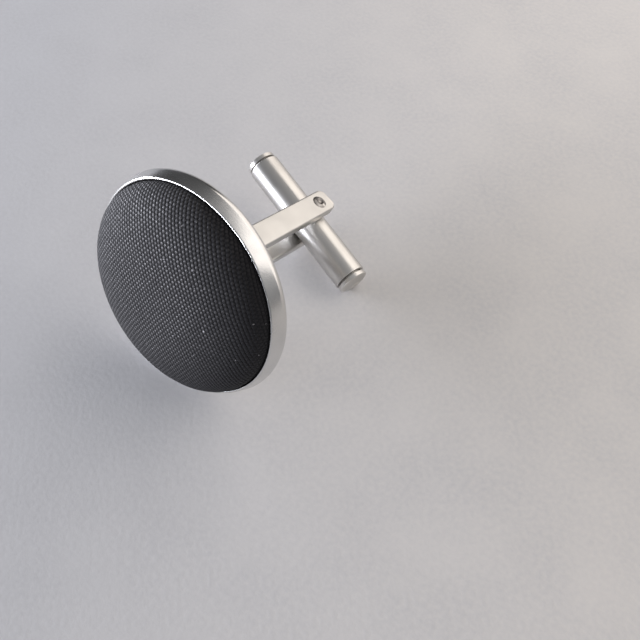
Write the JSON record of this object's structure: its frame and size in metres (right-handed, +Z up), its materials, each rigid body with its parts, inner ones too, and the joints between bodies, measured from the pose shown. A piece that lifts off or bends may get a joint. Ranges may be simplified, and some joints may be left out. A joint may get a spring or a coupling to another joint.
{
  "type": "cufflink",
  "caption": "Cufflink with a domed, fabric-covered round face in a steel tray and a forked post that carries a swinging toggle.",
  "frame": {"origin": "On the table, below the middle of the bounding box, with the cufflink lying as it rests: the tray's rim, the tip of the lower prong and one end of the toggle touch z = 0.", "axes": "+Z is up from the table. The face looks towards -Y and upwards. The post runs back along +Y and down, and the toggle lies roughly along X."},
  "size_m": [0.022, 0.0266, 0.0209],
  "materials": {
    "case": "satin stainless steel, tumbled",
    "adhesive_disc": "clear amber adhesive",
    "button_back": "bare pressed aluminium",
    "button_shell": "bare pressed aluminium",
    "fabric_cover": "near-black plain-woven polyester",
    "fork": "satin stainless steel, stamped and tumbled",
    "pivot_pin": "stainless steel, riveted",
    "toggle_tube": "satin stainless steel, turned",
    "leaf_spring": "blued-edge spring steel",
    "end_cap": "satin stainless steel, turned"
  },
  "bodies": {
    "stud": {"case": "case", "adhesive_disc": "adhesive_disc", "button_back": "button_back", "button_shell": "button_shell", "fabric_cover": "fabric_cover", "fork": "fork", "pivot_pin": "pivot_pin"},
    "toggle": {"toggle_tube": "toggle_tube", "leaf_spring": "leaf_spring", "end_cap_left": "end_cap", "end_cap_right": "end_cap"}
  },
  "joints": [
    {"name": "toggle_swing", "type": "hinge", "parent": "stud", "child": "toggle", "pos_m": [0, 0.00957, 0.00368], "axis": [0.3215, 0.3531, 0.8786], "range_deg": [-82, 98]}
  ]
}
